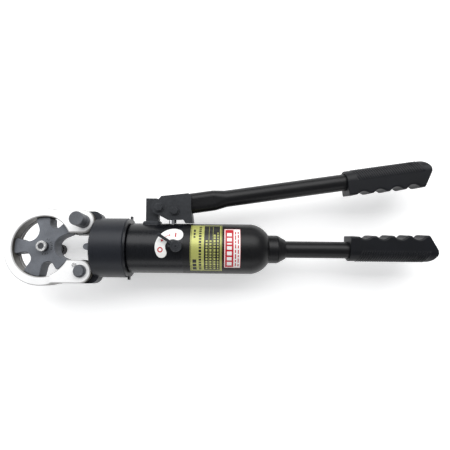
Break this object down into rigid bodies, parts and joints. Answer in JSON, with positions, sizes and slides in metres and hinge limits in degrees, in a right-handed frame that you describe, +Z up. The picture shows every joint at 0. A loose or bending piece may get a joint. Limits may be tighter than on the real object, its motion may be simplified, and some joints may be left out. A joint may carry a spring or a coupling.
{
  "type": "hydraulic crimping tool",
  "caption": "Hand-pumped hydraulic crimper: swivelling forked head with a turning nest wheel, ram and pull-out pin, pump lever, release lever and reservoir handle.",
  "frame": {"origin": "centre of the bounding box's lowest face; the tool lies on its side", "axes": "+X along the tool from the head to the grips, +Y from the lower handle to the pump lever, +Z up to the side that carries the release lever"},
  "size_m": [0.5676, 0.172, 0.0897],
  "materials": {
    "black_oxide": "satin",
    "black_paint": "satin",
    "black_plastic": "matt",
    "black_rubber": "matt",
    "bright_steel": "bright",
    "chrome": "polished",
    "gold_plate": "satin",
    "grey_paint": "satin",
    "hard_white": "matt",
    "phosphate_steel": "satin",
    "polished_steel": "polished",
    "red_plate": "satin",
    "seal_rubber": "matt",
    "spring_steel": "satin",
    "white_plate": "satin"
  },
  "bodies": {
    "pump": {"pump_body": "black_oxide", "plunger_seal": "seal_rubber", "suction_ball": "bright_steel", "suction_seat": "spring_steel", "delivery_ball": "bright_steel", "delivery_spring": "spring_steel", "delivery_plug": "spring_steel", "relief_ball": "bright_steel", "relief_spring": "spring_steel", "relief_screw": "spring_steel", "release_ball": "bright_steel", "release_plate": "white_plate", "rating_plate": "gold_plate", "caution_plate": "red_plate", "reservoir_shell": "black_paint", "reservoir_adapter": "spring_steel", "reservoir_seal": "seal_rubber", "oil_bladder": "seal_rubber", "bladder_clamp": "spring_steel", "suction_strainer": "spring_steel", "handle_socket": "black_paint", "handle_tube": "black_paint", "handle_grip": "black_rubber", "pivot_post": "grey_paint"},
    "head": {"yoke": "polished_steel", "hinge_pin": "phosphate_steel", "hinge_collar": "black_oxide", "hinge_clip": "spring_steel", "hinge_lock_screw": "bright_steel", "nose_sleeve": "black_oxide", "swivel_wire": "spring_steel", "swivel_ring": "black_oxide", "return_spring": "spring_steel"},
    "wheel": {"die_wheel": "phosphate_steel", "detent_balls": "bright_steel", "detent_springs": "spring_steel", "wheel_axle": "bright_steel", "axle_spacer": "black_oxide", "axle_nut": "bright_steel", "axle_washer": "bright_steel", "knob_tube": "grey_paint", "axle_knob": "black_plastic"},
    "ram": {"ram": "chrome", "piston_seal": "seal_rubber", "backup_ring": "hard_white", "punch": "phosphate_steel"},
    "latch": {"latch_pin": "phosphate_steel"},
    "lever": {"lever_bracket": "grey_paint", "lever_tube": "black_paint", "lever_grip": "black_rubber", "bracket_pins": "spring_steel", "bracket_washers": "grey_paint", "bracket_screws": "grey_paint"},
    "plunger": {"pump_plunger": "chrome"},
    "release": {"release_spindle": "spring_steel", "release_seal": "seal_rubber", "release_lever": "grey_paint", "release_screw": "bright_steel"}
  },
  "joints": [
    {"name": "head_swivel", "type": "hinge", "parent": "pump", "child": "head", "pos_m": [-0.23285, -0.03386, 0.0485], "axis": [1, 0, 0], "range_deg": [-180, 180]},
    {"name": "die_wheel_turn", "type": "hinge", "parent": "head", "child": "wheel", "pos_m": [-0.23285, -0.03386, 0.0485], "axis": [0, 0.1564, 0.9877], "range_deg": [-360, 360]},
    {"name": "ram_stroke", "type": "slide", "parent": "head", "child": "ram", "axis": [-1, 0, 0], "range_m": [0, 0.034], "stiffness_N_per_m": 600, "springref_m": -0.01, "deforming": ["return_spring"]},
    {"name": "latch_pin_pull", "type": "slide", "parent": "head", "child": "latch", "axis": [0, 0.1564, 0.9877], "range_m": [0, 0.042]},
    {"name": "pump_lever", "type": "hinge", "parent": "pump", "child": "lever", "pos_m": [-0.08085, 0.02034, 0.0485], "axis": [0, 0, 1], "range_deg": [0, 28]},
    {"name": "plunger_stroke", "type": "slide", "parent": "pump", "child": "plunger", "axis": [0, 1, 0], "range_m": [0, 0.01008]},
    {"name": "release_turn", "type": "hinge", "parent": "pump", "child": "release", "pos_m": [-0.05515, -0.02856, 0.0485], "axis": [0, 0, 1], "range_deg": [-60, 60]}
  ],
  "couplings": [
    {"joint": "plunger_stroke", "follows": "pump_lever", "m_per_rad": 0.0206}
  ]
}
